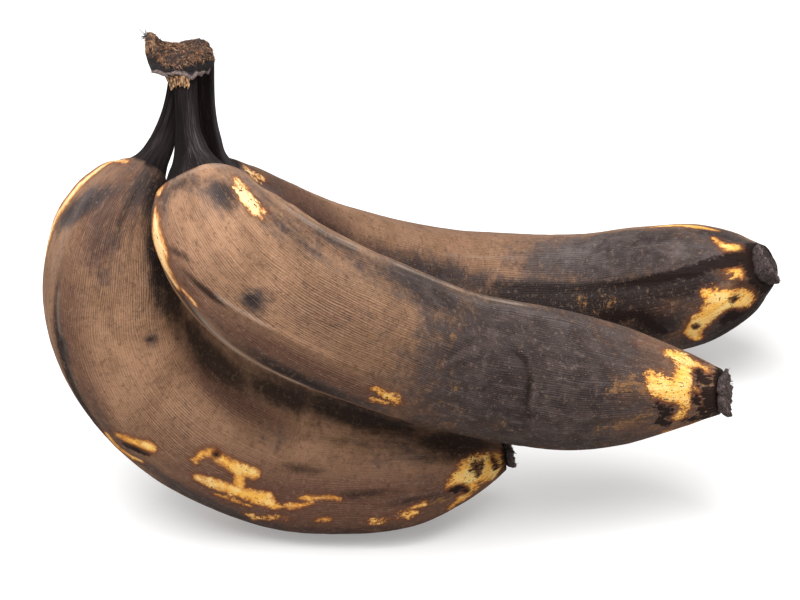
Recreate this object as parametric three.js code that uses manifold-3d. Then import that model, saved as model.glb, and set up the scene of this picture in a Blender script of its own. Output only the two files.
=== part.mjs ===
// A bunch of three overripe bananas, still joined at the cut crown.
// Millimetres, +Z up. The bunch rests on the bellies of the left and back fruits, crown up.
// The origin is at the centre of the bunch's bounding box, on the resting plane.

import * as THREE from 'three';
import { mergeVertices } from 'three/addons/utils/BufferGeometryUtils.js';
import Module from 'manifold-3d';

const wasm = await Module();
wasm.setup();

// Driving dimensions
const CROWN_BASE = 147;        // height of the crown's underside, where the stems start
const GAP = 0.3;               // clearance between pieces that grow into each other
const SIDES = 20;              // faces around a fruit
const RINGS_PER_SPAN = 3;      // rings between two stations of a fruit
const RIDGES = 5;              // blunt lengthwise edges of a banana
const RIDGE_HEIGHT = 0.025;    // their height, as a share of the radius

// Each fruit is a row of stations [x, y, z, radius] down the middle of its stem and body, from
// inside the crown to the blossom end. ridgeTurn turns its ridges about its length, in radians.
const FRUITS = {
  left: {
    stations: [
      [56.5, 29, 150, 3.5], [55.8, 27.2, 140, 3.2], [53.9, 22.5, 131.5, 3.2], [51, 16.5, 125, 3.7],
      [48, 12, 121, 4.6], [45.2, 8, 118, 7.7], [42, 5, 114.6, 12.1], [39.5, 3, 109, 15.8],
      [37.7, 2, 99, 19.4], [36.5, 1, 79, 21.3], [42, -1, 59, 21.7], [57.5, -2.5, 38.7, 21.5],
      [80.5, 0, 22.9, 21.5], [102, -1, 19.4, 20.8], [120, -2, 19.5, 18.8], [135, 0, 19.8, 13.9],
      [145, 2, 19.8, 9], [151.5, 3, 20.6, 4.9],
    ],
    ridgeTurn: 0.3,
    tip: { radius: 4.6, length: 2.6 },
  },
  front: {
    stations: [
      [58.2, 18.6, 150, 3.6], [58.7, 13.2, 137.4, 3.5], [59.3, 8, 131.4, 4.2], [61, 1, 126.5, 6.8],
      [64, -9, 122.3, 13.4], [68.3, -18, 117, 18.8], [75.5, -22.5, 109, 20.8], [88, -22, 97.5, 21.3],
      [109, -16, 81, 21.4], [134, -9, 65, 20.7], [166, -3, 53, 20.5], [186, -2, 50, 17.5],
      [205.5, -4, 50, 10.9], [215, -7, 51.5, 6.8],
    ],
    ridgeTurn: 0.9,
    tip: { radius: 6.6, length: 2.6 },
  },
  back: {
    stations: [
      [63.2, 24.5, 150, 3.7], [62.7, 26.5, 131, 3.6], [63.5, 28.5, 118, 3.9], [65.5, 31, 107, 4.7],
      [70, 36, 92.8, 11.6], [77.2, 44, 76.3, 16.6], [88.5, 56, 58.5, 19.2], [102, 67, 44.5, 20.3],
      [117, 77.5, 32, 21], [133, 85, 23.6, 21.3], [152.5, 88, 19.7, 21.3], [180, 84, 22, 21.3],
      [199.5, 80, 28.3, 20.8], [214.5, 75, 34.5, 19.3], [225.5, 70.5, 40.3, 14.8], [231, 67.5, 44.5, 10.2],
      [234.5, 65.5, 47.5, 7.2],
    ],
    ridgeTurn: 0.1,
    tip: { radius: 7, length: 3.4 },
  },
};

// The crown: the core of its front outline, as [x, z] from the middle of its underside.
// The rounding is added all round it. A horn leans out at its left and a hump stands at its right.
const CROWN_PLACE = [58.2, 21];
const CROWN_CORE_DEPTH = 10;
const CROWN_ROUNDING = 1.5;
const CROWN_OUTLINE = [
  [-5, 1.5], [-8, 3.2], [-9.2, 8], [-5.6, 4.9], [-2.4, 3.8], [1.6, 4.8], [4.8, 5.3], [6.8, 3.4], [5, 1.5],
];

// Materials
const peel = (colour) => new THREE.MeshStandardMaterial({ color: colour, roughness: 0.6, metalness: 0 });
const dried = (colour) => new THREE.MeshStandardMaterial({ color: colour, roughness: 0.9, metalness: 0 });
const PEELS = { left: peel(0x95705a), front: peel(0x8a6a57), back: peel(0x775a4c) };
const CROWN_FIBRE = dried(0x75553f);
const DRIED_END = dried(0x3a302c);

// A closed geometry as a solid, with its shared vertices merged and collapsed faces dropped
function solidOf(geometry) {
  const bare = geometry.clone();
  bare.deleteAttribute('normal');
  bare.deleteAttribute('uv');
  const merged = mergeVertices(bare);
  const corners = merged.index.array;
  const faces = [];
  for (let i = 0; i < corners.length; i += 3) {
    const [a, b, c] = corners.slice(i, i + 3);
    if (a !== b && b !== c && c !== a) faces.push(a, b, c);
  }
  return new wasm.Manifold(new wasm.Mesh({
    numProp: 3,
    vertProperties: merged.attributes.position.array,
    triVerts: Uint32Array.from(faces),
  }));
}

function geometryOf(solid) {
  const mesh = solid.getMesh();
  const geometry = new THREE.BufferGeometry();
  geometry.setAttribute('position', new THREE.BufferAttribute(mesh.vertProperties, mesh.numProp));
  geometry.setIndex(new THREE.BufferAttribute(mesh.triVerts, 1));
  geometry.computeVertexNormals();
  return geometry;
}

function piece(name, geometry, material) {
  const mesh = new THREE.Mesh(geometry, material);
  mesh.name = name;
  return mesh;
}

// A fruit is a turned body of varying radius, bent onto its stations and given blunt ridges.
// The frame across it is carried along without twist.
function fruitBody({ stations, ridgeTurn }) {
  const rings = (stations.length - 1) * RINGS_PER_SPAN;
  const middle = new THREE.CatmullRomCurve3(stations.map(([x, y, z]) => new THREE.Vector3(x, y, z)));
  const girth = new THREE.SplineCurve(stations.map((station, i) => new THREE.Vector2(i, station[3])));
  const profile = [new THREE.Vector2(0, 0)];
  for (let ring = 0; ring <= rings; ring++) {
    profile.push(new THREE.Vector2(girth.getPoint(ring / rings).y, ring));
  }
  profile.push(new THREE.Vector2(0, rings));
  const body = new THREE.LatheGeometry(profile, SIDES);

  const frames = [];
  const across = new THREE.Vector3(1, 0, 0);
  for (let ring = 0; ring <= rings; ring++) {
    const along = middle.getTangent(ring / rings);
    across.projectOnPlane(along).normalize();
    const out = new THREE.Vector3().crossVectors(across, along);
    frames.push({ centre: middle.getPoint(ring / rings), across: across.clone(), out, along });
  }

  const place = body.attributes.position;
  const point = new THREE.Vector3();
  for (let i = 0; i < place.count; i++) {
    const frame = frames[Math.round(place.getY(i))];
    const [x, z] = [place.getX(i), place.getZ(i)];
    const swell = 1 + RIDGE_HEIGHT * Math.cos(RIDGES * (Math.atan2(x, z) + ridgeTurn));
    point.copy(frame.centre).addScaledVector(frame.across, x * swell).addScaledVector(frame.out, z * swell);
    place.setXYZ(i, point.x, point.y, point.z);
  }
  const last = frames[rings];
  return { body, end: last.centre, direction: last.along };
}

// A fruit lies between the resting plane and the crown's underside. The cut at the plane is
// the flat that a soft fruit's own weight gives it.
function fruitRoom() {
  const width = 600;
  const height = CROWN_BASE - GAP;
  const room = new THREE.BoxGeometry(width, width, height);
  room.translate(0, 0, height / 2);
  return solidOf(room);
}

// The dried blossom end: a short, slightly flared stub, hollowed a little at its outer face
function blossomTip({ radius, length }) {
  const profile = [
    [0, 0], [radius * 0.82, 0], [radius, length * 0.55], [radius * 0.8, length], [0, length * 0.75],
  ];
  return new THREE.LatheGeometry(profile.map(([r, y]) => new THREE.Vector2(r, y)), SIDES);
}

function crownBlock() {
  const [first, ...rest] = CROWN_OUTLINE.map(([x, z]) => new THREE.Vector2(x, z));
  const outline = new THREE.Shape();
  outline.moveTo(first.x, first.y);
  outline.splineThru(rest);
  outline.closePath();
  const block = new THREE.ExtrudeGeometry(outline, {
    depth: CROWN_CORE_DEPTH,
    steps: 1,
    curveSegments: 3,
    bevelThickness: CROWN_ROUNDING,
    bevelSize: CROWN_ROUNDING,
    bevelSegments: 3,
  });
  block.translate(0, 0, -CROWN_CORE_DEPTH / 2);
  block.rotateX(Math.PI / 2);
  return block;
}

const bunch = new THREE.Group();
const room = fruitRoom();
for (const [side, fruit] of Object.entries(FRUITS)) {
  const { body, end, direction } = fruitBody(fruit);
  bunch.add(piece(`banana_${side}`, geometryOf(solidOf(body).intersect(room)), PEELS[side]));

  const tip = piece(`blossom_tip_${side}`, geometryOf(solidOf(blossomTip(fruit.tip))), DRIED_END);
  tip.position.copy(end).addScaledVector(direction, GAP);
  tip.quaternion.setFromUnitVectors(new THREE.Vector3(0, 1, 0), direction);
  bunch.add(tip);
}

const crown = piece('crown', geometryOf(solidOf(crownBlock())), CROWN_FIBRE);
crown.position.set(CROWN_PLACE[0], CROWN_PLACE[1], CROWN_BASE);
bunch.add(crown);

// The origin goes to the middle of the box, on the resting plane
bunch.updateMatrixWorld(true);
const centre = new THREE.Box3().setFromObject(bunch, true).getCenter(new THREE.Vector3());
bunch.position.set(-centre.x, -centre.y, 0);

export default bunch;
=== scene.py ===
import math

import bpy
import numpy as np
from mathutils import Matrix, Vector


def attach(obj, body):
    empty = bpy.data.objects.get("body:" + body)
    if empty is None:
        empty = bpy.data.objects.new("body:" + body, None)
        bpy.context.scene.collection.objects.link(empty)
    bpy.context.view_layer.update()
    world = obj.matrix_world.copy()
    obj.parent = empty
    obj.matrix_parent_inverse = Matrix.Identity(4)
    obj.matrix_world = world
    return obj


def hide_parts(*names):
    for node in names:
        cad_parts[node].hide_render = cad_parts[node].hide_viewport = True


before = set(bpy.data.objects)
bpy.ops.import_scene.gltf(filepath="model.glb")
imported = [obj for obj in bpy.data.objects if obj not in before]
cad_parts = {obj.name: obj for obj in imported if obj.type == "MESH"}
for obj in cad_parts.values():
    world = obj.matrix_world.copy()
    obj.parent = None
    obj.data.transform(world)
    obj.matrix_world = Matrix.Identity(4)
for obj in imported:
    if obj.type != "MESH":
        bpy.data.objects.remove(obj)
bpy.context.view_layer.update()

MM = 0.001
scene = bpy.context.scene

# ---- the bunch's own measures
# Stations (x, y, z, radius) in millimetres down each fruit's stem and body, as in the solids.
# BUNCH_MIDDLE is the middle of the bunch's box in those numbers: it becomes the origin.
BUNCH_MIDDLE = (128.25, 32.66)
CROWN_BASE = 147.0
GAP = 0.3  # left between pieces that grow together
STATIONS = {"left": [
    (56.5, 29, 150, 3.5), (55.8, 27.2, 140, 3.2), (53.9, 22.5, 131.5, 3.2), (51, 16.5, 125, 3.7),
    (48, 12, 121, 4.6), (45.2, 8, 118, 7.7), (42, 5, 114.6, 12.1), (39.5, 3, 109, 15.8), (37.7, 2, 99, 19.4),
    (36.5, 1, 79, 21.3), (42, -1, 59, 21.7), (57.5, -2.5, 38.7, 21.5), (80.5, 0, 22.9, 21.5),
    (102, -1, 19.4, 20.8), (120, -2, 19.5, 18.8), (135, 0, 19.8, 13.9), (145, 2, 19.8, 9),
    (151.5, 3, 20.6, 4.9),
], "front": [
    (58.2, 18.6, 150, 3.6), (58.7, 13.2, 137.4, 3.5), (59.3, 8, 131.4, 4.2), (61, 1, 126.5, 6.8),
    (64, -9, 122.3, 13.4), (68.3, -18, 117, 18.8), (75.5, -22.5, 109, 20.8), (88, -22, 97.5, 21.3),
    (109, -16, 81, 21.4), (134, -9, 65, 20.7), (166, -3, 53, 20.5), (186, -2, 50, 17.5),
    (205.5, -4, 50, 10.9), (215, -7, 51.5, 6.8),
], "back": [
    (63.2, 24.5, 150, 3.7), (62.7, 26.5, 131, 3.6), (63.5, 28.5, 118, 3.9), (65.5, 31, 107, 4.7),
    (70, 36, 92.8, 11.6), (77.2, 44, 76.3, 16.6), (88.5, 56, 58.5, 19.2), (102, 67, 44.5, 20.3),
    (117, 77.5, 32, 21), (133, 85, 23.6, 21.3), (152.5, 88, 19.7, 21.3), (180, 84, 22, 21.3),
    (199.5, 80, 28.3, 20.8), (214.5, 75, 34.5, 19.3), (225.5, 70.5, 40.3, 14.8), (231, 67.5, 44.5, 10.2),
    (234.5, 65.5, 47.5, 7.2),
]}
RIDGE_TURN = {"left": 0.3, "front": 0.9, "back": 0.1}  # where a fruit's five soft edges run
# Where each stem meets its fruit, how far the fruit's shoulder stands out there, and how far the
# top of the stem leans in under the crown
NECK = {"left": 40, "front": 40, "back": 48}
SHOULDER = {"left": 0.3, "front": 0.9, "back": 0.3}
TUCK = {"left": -4, "front": 1.8, "back": -1}
# The dried end's radius and length, and how its outer face leans away
TIP = {"left": (4.6, 2.6), "front": (6.6, 2.2), "back": (6.6, 2.5)}
LEAN = {"left": (0, 0, 0), "front": (0.1, 0.1, 0.05), "back": (0.35, 0.6, 0)}
ROWS, ROUND = 290, 340  # points along a fruit and around it

# ---- marks on the peel
# Every mark lies at a place on its fruit: millimetres along it from the crown, degrees around it.
# A band is a chain of places (along, around, half width) joined into one rounded shape.
YELLOW = {"left": [
    [(43, 250, 0.9), (42, 236, 0.9), (42, 222, 0.4)],
    [(44, 250, 0.6), (47, 250, 1.1), (52, 253, 1.7), (58, 256, 1.9), (65, 256, 1.6), (74, 256, 0.5)],
    [(114, 200, 0.6), (116, 195, 1.2), (119, 189, 1.5), (121, 184, 2)],
    [(114, 212, 0.5), (119, 213, 0.8), (122, 209, 0.8), (124, 203, 0.3)],
    [(132, 166, 0.8), (132, 158, 1.2), (134, 153, 1.4), (139, 154, 1.8), (144, 155, 2.1), (149, 153, 1.8)],
    [(144, 155, 1.8), (147, 168, 1.8)],
    [(136, 179, 0.9), (141, 176, 1.7), (147, 174, 2), (153, 173, 2.4), (158, 171, 2.7), (162, 175, 1.2)],
    [(162, 175, 1.2), (164, 175, 0.6)], [(143, 186, 0.4), (149, 183, 0.4), (154, 183, 0.4)],
    [(170, 164, 0.3), (172, 162, 0.8), (174, 162, 0.5), (177, 161, 0.3), (180, 160, 0.7), (182, 161, 0.3)],
    [(166, 173, 0.6), (170, 171, 1.1), (172, 169, 0.6), (174, 166, 0.3)],
    [(155, 194, 0.5), (158, 195, 1.2), (161, 192, 0.9), (164, 187, 0.5), (167, 186, 0.3)],
    [(176, 184, 0.3), (179, 182, 0.4)], [(192, 185, 0.4), (193, 185, 0.8), (195, 185, 0.4)],
    [(199, 182, 0.8), (201, 182, 1.2), (202, 176, 0.9), (204, 173, 0.6)],
    [(212, 160, 1.6), (215, 154, 3), (218, 151, 4.6), (223, 152, 4.8), (227, 158, 4), (229, 152, 3)],
    [(229, 150, 2), (231, 132, 1.6)], [(219, 174, 2.4), (216, 186, 1.8), (212, 194, 0.8)],
    [(78, 300, 1), (84, 304, 2.2), (93, 299, 2.8), (99, 306, 1.2)], [(93, 300, 1.8), (98, 289, 1)],
    [(150, 258, 0.8), (158, 263, 1.8), (168, 258, 2.4), (176, 265, 1.6), (186, 263, 0.6)],
    [(208, 296, 1), (216, 302, 2.8), (224, 299, 2.2), (222, 314, 1)],
], "front": [
    [(40, 241, 0.6), (42, 230, 0.8), (41, 223, 0.3)],
    [(46, 236, 0.5), (49, 238, 1.8), (52, 242, 2.8), (55, 248, 2.4), (58, 250, 1.2)],
    [(48, 250, 0.3), (50, 253, 1.1), (52, 258, 0.9), (54, 256, 0.7), (56, 253, 0.6), (57, 251, 0.3)],
    [(55, 245, 0.4), (57, 246, 0.7)], [(60, 243, 0.3), (62, 243, 0.4)],
    [(47.5, 141, 1.2), (50, 144, 1.9), (53, 148, 2.5), (55.5, 148, 2.1), (57, 143, 1.2)],
    [(111, 220, 0.6), (114, 220, 1.2), (118, 223, 1.8), (121, 225, 1.2)], [(114, 231, 0.6), (118, 228, 0.9)],
    [(209, 114, 1.6), (212, 115, 2.8), (215, 119, 2.2), (218, 117, 1.2)],
    [(214, 135, 2.8), (214, 155, 3.8), (214, 177, 3.8)], [(204, 160, 2.2), (207, 168, 3.8), (212, 175, 3.6)],
    [(215, 196, 2.1), (214, 213, 1.5), (212, 215, 0.9)], [(209, 241, 0.5), (213, 250, 0.5), (218, 245, 0.3)],
    [(218, 112, 1.2), (221, 116, 1.1), (222, 122, 0.9)], [(219, 128, 0.7)],
    [(220, 168, 1.1), (221, 174, 0.7)], [(222, 207, 0.9), (223, 193, 0.8)],
    [(208, 330, 1), (213, 342, 2.8), (218, 350, 1.2)],
    [(140, 318, 0.8), (149, 323, 2), (156, 317, 1.5), (164, 324, 0.5)],
    [(76, 9, 0.8), (84, 15, 2), (91, 10, 1)],
], "back": [
    [(243, 41, 0.8), (252, 39, 2.2), (260, 37, 2.4), (266, 35, 1)],
    [(268, 60, 0.5), (272, 66, 1.2), (276, 71, 2), (279, 76, 1.4)],
    [(274, 108, 1.6), (276, 118, 1.8), (277, 128, 1)],
    [(265, 134, 1.6), (267, 142, 3.2), (270, 154, 3.8), (273, 168, 3.4), (274, 182, 1.8)],
    [(267, 153, 3), (262, 160, 3), (259, 164, 3.2), (255, 173, 2.6), (255, 185, 1.6)],
    [(50, 80, 0.6), (53, 85, 1.1), (57, 80, 0.8)], [(256, 294, 1), (264, 304, 2.6), (272, 299, 1.4)],
    [(180, 315, 0.8), (190, 322, 2.4), (199, 316, 1.6), (207, 324, 0.6)],
    [(114, 267, 0.8), (122, 274, 1.8), (129, 270, 0.8)],
]}
BLACK = {"left": [
    [(118, 201, 0.5), (120, 196, 0.9), (123, 191, 0.6)], [(212, 167, 0.6), (214, 170, 1.2), (217, 177, 0.5)],
    [(229, 200, 0.6), (231, 189, 0.9), (231, 197, 0.6)], [(219, 142, 0.1), (222, 142, 0.2)], [(221, 156, 0)],
    [(227, 141, 0.5), (228, 156, 0.2)], [(135, 152, 0.6)],
    [(232, 0, 1.6), (232, 120, 1.2), (232, 240, 2), (232, 359, 2)], [(180, 298, 2), (190, 302, 3)],
], "front": [
    [(220, 98, 0.9)], [(220, 134, 1.2), (222, 148, 2.2)], [(223, 162, 1.4), (224, 196, 2.2)],
    [(220, 180, 0.9), (221, 203, 0.9), (222, 227, 1.2), (224, 220, 1.5)],
    [(206, 190, 0.8), (209, 200, 1.7), (211, 197, 0.8)], [(214, 231, 0.5), (219, 230, 0.6), (222, 236, 0.9)],
    [(210, 225, 0.6), (207, 216, 1.2)], [(226, 0, 3), (226, 120, 2), (226, 240, 2.4), (226, 359, 3)],
], "back": [
    [(265, 180, 1.2), (268, 180, 1.8), (270, 193, 0.9)], [(227, 135, 1.5), (241, 139, 1.8), (246, 161, 2.1)],
    [(272, 159, 0.4)], [(257, 168, 0.3)], [(280, 0, 2.4), (280, 120, 1.4), (280, 240, 2.4)],
    [(280, 240, 2.6), (280, 359, 2.4)],
    [(279, 90, 2.4), (272, 98, 2), (262, 107, 1.8), (248, 111, 1.6), (232, 112, 0.8)],
]}
TAN = {"left": [
    [(205, 172, 1), (212, 180, 1)],
], "front": [
    [(186, 214, 1.6), (195, 211, 1.8), (203, 202, 1.4), (206, 207, 1.2)],
    [(190, 174, 2), (197, 165, 2.6), (202, 171, 2.4)], [(204, 151, 1.5), (208, 146, 1.4)],
    [(200, 226, 1), (214, 222, 1)], [(113, 214, 1), (124, 222, 1)], [(46, 140, 1), (58, 150, 1)],
    [(128, 155, 1.8)], [(135, 196, 1.2)], [(133, 209, 1)],
], "back": [
    [(219, 116, 1.8), (220, 124, 1.2)], [(232, 124, 1.5), (225, 132, 0.9)], [(236, 144, 0.9)],
    [(228, 118, 0.9)], [(51, 74, 0.9), (53, 86, 0.9)], [(57, 74, 1.4), (57, 85, 0.9)],
    [(258, 150, 1.5), (250, 172, 1.4)],
]}
BANDS = {"yellow": YELLOW, "black": BLACK, "tan": TAN}

# A smudge has a soft edge. It is (along, around, half length, half width, strength, turn), where
# the strength is 1 and the turn is 0 degrees if not given. Dusk is dried grey-purple peel. Smoke is
# blacker still: blackened peel, and also painted shade where the front fruit lies over the left one
# and down the front stem's shaded side. Dull is a darker and redder brown, partly painted shade on
# the lower flanks. Bloom is pale grey, partly painted sheen and highlight on the front fruit's hump
# and the lit side of the stems. Broken is where a patch is speckled, and lined is where the fine
# lines stand out.
DUSK = {"left": [
    (53, 222, 12, 3.5, 0.95, 53), (44, 150, 10, 12, 0.7), (58, 122, 22, 6, 0.85), (63, 176, 6, 5, 0.5),
    (90, 212, 12, 3.4, 0.8), (88, 137, 3.4, 3.4, 0.75), (150, 203, 55, 4.4, 0.75), (200, 116, 24, 9, 0.45),
    (150, 122, 22, 5, 0.45, -6), (205, 160, 14, 9, 0.45), (120, 300, 60, 22, 0.7), (60, 330, 20, 16, 0.6),
    (185, 30, 35, 22, 0.7), (56, 182, 14, 12, 0.5),
], "front": [
    (160, 168, 52, 36, 1.1), (122, 122, 36, 12, 0.9), (84, 114, 26, 4, 0.7), (50, 168, 6, 6.5, 0.75),
    (44, 222, 8, 4, 0.7), (60, 140, 24, 3, 0.7), (62, 151, 13, 4, 0.5), (43, 207, 6, 5, 0.55),
    (105, 240, 36, 3.4, 0.7), (68, 204, 3.4, 3.6, 0.95), (45, 252, 12, 4, 0.7), (170, 230, 50, 10, 0.9),
    (140, 320, 60, 30, 0.8), (60, 20, 26, 20, 0.5), (196, 190, 30, 20, 0.7), (44, 192, 6, 5, 0.7),
    (60, 130, 30, 6, 0.5),
], "back": [
    (235, 80, 46, 14, 1.1), (268, 46, 16, 9), (215, 118, 60, 10), (262, 196, 22, 14, 1.1), (262, 118, 16, 8),
    (58, 80, 18, 9, 0.5), (150, 104, 50, 8, 0.8), (262, 90, 18, 14, 0.9), (250, 160, 20, 12, 0.75),
    (170, 300, 80, 26, 0.7), (90, 200, 40, 30, 0.7),
]}
# Darker, redder peel, partly painted shade on the lower flanks, such as the left fruit's belly.
DULL_AND_SHADE = {"left": [
    (175, 180, 60, 18, 1.1), (195, 135, 34, 16, 0.4), (90, 205, 50, 9, 0.8), (52, 190, 20, 16, 0.7),
    (130, 108, 34, 6, 0.9), (180, 300, 80, 60, 0.7),
], "front": [
    (95, 232, 46, 8), (60, 236, 20, 7, 0.7), (86, 174, 22, 16, 0.5), (190, 180, 40, 40, 0.8),
    (78, 122, 40, 5, 0.5), (150, 300, 90, 60, 0.7),
], "back": [
    (76, 96, 40, 12), (120, 104, 40, 7, 0.8), (235, 150, 40, 20, 0.9), (170, 280, 90, 70, 0.7),
]}
# Pale grey, partly painted sheen and highlight: the entries under 40 along paint highlights on the lit side
# of the stems, and the front fruit's at 50 along is a painted sheen on its hump.
BLOOM_AND_SHEEN = {
    "left": [(60, 224, 16, 3, 0.2), (22, 196, 20, 2, 0.3)],
    "front": [(50, 170, 4, 5, 0.15), (44, 130, 8, 5, 0.2), (160, 112, 50, 3, 0.2), (22, 150, 22, 3, 0.45)],
    "back": [(218, 72, 20, 9, 0.25), (262, 80, 14, 6, 0.2), (28, 98, 28, 2.6, 0.9)],
}
# Blackened peel and painted shade. On the left fruit, the smudges round 74 to 128 degrees paint the shade
# where the front fruit lies over it; on the front fruit, those under 40 along at 216 to 242 degrees paint
# its stem's shaded side near-black.
SMOKE_AND_SHADE = {"left": [
    (95, 216, 30, 2.2, 0.9), (44, 126, 14, 7, 0.9), (74, 108, 26, 6.5, 0.95, -4), (118, 88, 34, 6, 0.9),
    (190, 198, 25, 3, 0.5), (165, 74, 50, 6, 0.8), (88, 137, 1.2, 1.6, 0.7), (200, 60, 30, 7, 0.5),
    (209, 172, 5, 2.4, 0.6), (168, 138, 12, 2.4, 0.7), (190, 155, 14, 2.2, 0.7, -4),
    (202, 167, 12, 1.8, 0.6), (216, 118, 14, 6, 0.8), (176, 112, 22, 2.6, 0.5), (158, 168, 10, 1.6, 0.5),
    (20, 180, 30, 30, 0.5), (185, 86, 26, 5, 1, 8), (216, 106, 16, 5), (150, 84, 30, 6, 0.9),
    (60, 128, 20, 3.4, 0.9, -4), (54, 154, 14, 1.6, 0.5), (49, 168, 9, 2.2, 0.6), (110, 94, 30, 6, 0.9),
    (120, 322, 32, 4, 0.8, 8), (176, 350, 26, 5, 0.7, -5), (80, 276, 18, 3, 0.6), (200, 262, 22, 4, 0.6),
], "front": [
    (158, 168, 12, 9, 0.45), (44, 204, 2.4, 5, 0.55), (46, 188, 2, 4, 0.45), (51, 165, 4.4, 4.4, 0.75),
    (61.5, 225, 4.6, 1.5, 0.95, -24), (55, 226, 4.6, 1.1, 0.8, -50), (68, 204, 1.8, 2, 0.6),
    (128, 166, 9, 6, 0.4), (62, 252, 12, 2.6, 0.8), (217, 150, 5, 14, 0.6), (150, 244, 44, 3, 0.6),
    (112, 214, 7, 2.4, 0.5), (148, 178, 10, 6, 0.35, 30), (90, 242, 22, 3.2, 0.8), (8, 242, 14, 3.3),
    (25, 228, 16, 4.4, 1.2), (118, 345, 34, 5, 0.8, 5), (182, 320, 20, 4, 0.7), (90, 60, 26, 5, 0.6),
    (160, 30, 30, 5, 0.6), (35, 216, 7, 3.6),
], "back": [
    (222, 111, 52, 3.2, 1, 2), (205, 132, 60, 11), (52, 98, 7, 4, 0.6), (243, 150, 12, 9, 0.9),
    (276, 110, 8, 4, 0.8), (90, 96, 34, 4, 0.6), (255, 122, 18, 4), (268, 204, 14, 7),
    (276, 150, 4, 11, 0.8), (150, 282, 40, 5, 0.8, -6), (222, 322, 24, 5, 0.7, 4), (90, 240, 22, 6, 0.6),
    (196, 204, 50, 7, 0.7),
]}
BROKEN = {"left": [
    (222, 150, 14, 16, 0.65), (195, 184, 12, 4, 0.8), (160, 190, 14, 4, 0.7), (90, 300, 14, 7),
    (168, 260, 22, 6), (216, 303, 12, 8),
], "front": [
    (211, 165, 15, 30), (196, 222, 16, 6), (200, 165, 8, 14, 0.6), (117, 222, 8, 5, 0.6),
    (52, 149, 8, 5, 0.9), (213, 342, 9, 8), (152, 320, 15, 6), (84, 12, 10, 6),
], "back": [
    (270, 140, 12, 14, 0.6), (230, 130, 16, 7), (53, 84, 8, 6), (264, 300, 12, 7), (193, 320, 18, 7),
    (121, 270, 12, 6),
]}
LINED = {
    "left": [(60, 155, 30, 26), (120, 150, 40, 20, 0.7), (120, 250, 90, 60, 0.55), (130, 20, 80, 40, 0.5)],
    "front": [(92, 165, 55, 30), (170, 170, 60, 40, 0.85), (120, 330, 90, 50, 0.4)],
    "back": [(190, 80, 70, 22, 0.6), (120, 230, 90, 60, 0.55), (190, 300, 80, 40, 0.5)],
}
SMUDGES = {"dusk": DUSK, "dull": DULL_AND_SHADE, "bloom": BLOOM_AND_SHEEN, "smoke": SMOKE_AND_SHADE, "broken": BROKEN, "lined": LINED}

# A stroke is (places, height, half width): places are (along, around) and the rest millimetres.
SEAMS = {"left": [
    ([(58, 232), (140, 210), (225, 196)], 0.55, 1.5), ([(60, 104), (220, 92)], 0.4, 1.8),
    ([(70, 160), (225, 150)], 0.25, 2.4),
], "front": [
    ([(46, 130), (90, 120), (150, 114), (216, 108)], 0.55, 1.0),
    ([(50, 114), (120, 100), (200, 96)], 0.5, 1.2), ([(54, 228), (75, 212), (120, 205)], 0.35, 0.9),
    ([(120, 205), (212, 200)], 0.3, 1.4), ([(58, 242), (212, 246)], 0.4, 1.3),
], "back": [
    ([(190, 98), (230, 99), (274, 104)], 0.5, 2.6), ([(60, 66), (190, 60)], 0.35, 1.6),
    ([(240, 186), (276, 190)], 0.5, 1.5),
]}
CREASES = {"left": [
    ([(86, 212), (94, 206)], 0.35, 0.9), ([(42, 150), (60, 128)], 0.3, 1.2),
], "front": [
    ([(150, 150), (156, 160), (159, 176), (160, 196), (164, 216)], 0.95, 1.1),
    ([(138, 166), (148, 172), (156, 186)], 0.4, 1.2), ([(124, 183), (132, 166), (139, 148)], 0.35, 1.2),
    ([(119, 141), (126, 133), (131, 123)], 0.4, 0.9), ([(146, 150), (154, 136), (162, 122)], 0.25, 1),
    ([(68, 214), (74, 211)], 0.3, 0.6), ([(164, 178), (170, 158), (173, 140)], 0.25, 1.2),
], "back": [
    ([(205, 112), (240, 113), (272, 115)], 0.7, 1.7), ([(258, 88), (264, 100)], 0.3, 0.9),
]}
# Pale lines along an edge: their height is how pale they are. They are partly pale ridges of the
# peel and partly painted highlights along lit edges and outlines. The front fruit's broad last line,
# at 246 to 252 degrees, is a tan strip painted where the floor, in shade, shows between the front and
# left fruits.
PALE_AND_PAINTED_LIGHT_LINES = {"left": [
    ([(72, 214), (86, 212)], 0.5, 0.7),
], "front": [
    ([(44, 118), (90, 107), (125, 103), (170, 100)], 0.8, 0.5),
    ([(46, 128), (62, 116), (110, 106)], 0.6, 0.4), ([(41.5, 222), (41.5, 180), (41.5, 132)], 0.7, 0.4),
    ([(62, 221), (70, 214), (77, 211)], 0.7, 0.45),
    ([(60, 246), (68, 251), (78, 252), (88, 251), (98, 247)], 1, 1.3),
], "back": [
    ([(150, 84), (200, 80)], 0.3, 0.6),
]}
# Written like smudges: where a fruit is fuller than its stations, by so many millimetres, and where
# the peel is ruffled across its length.
SWELLS = {
    "left": [(146, 72, 32, 9, 3), (36, 146, 8, 5, 2.2)],
    "front": [(80, 254, 22, 7, 1.4), (51, 243, 8, 7, 1.3)],
    "back": [(150, 88, 60, 14, 0.3)],
}
RUFFLES = {
    "left": [(45, 150, 10, 12, 0.5)],
    "front": [(150, 170, 22, 14, 0.9), (215, 160, 10, 20, 0.6), (51, 166, 6, 6, 0.9)],
    "back": [(218, 76, 20, 13), (265, 80, 14, 12, 0.6)],
}


# ---- camera and light
CAMERA_TILT, CAMERA_DISTANCE, CAMERA_ANGLE = math.radians(35), 0.98, math.radians(14)
CAMERA_TARGET = (120 - BUNCH_MIDDLE[0], 20 - BUNCH_MIDDLE[1], 66)
LAMP_PLACE, LAMP_TARGET = (-0.18, -0.27, 0.88), (0, 0, 0.05)
LAMP_WIDTH, LAMP_DEPTH, LAMP_WATTS = 0.8, 0.7, 11.7
SKY_STRENGTH = 0.63


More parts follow.
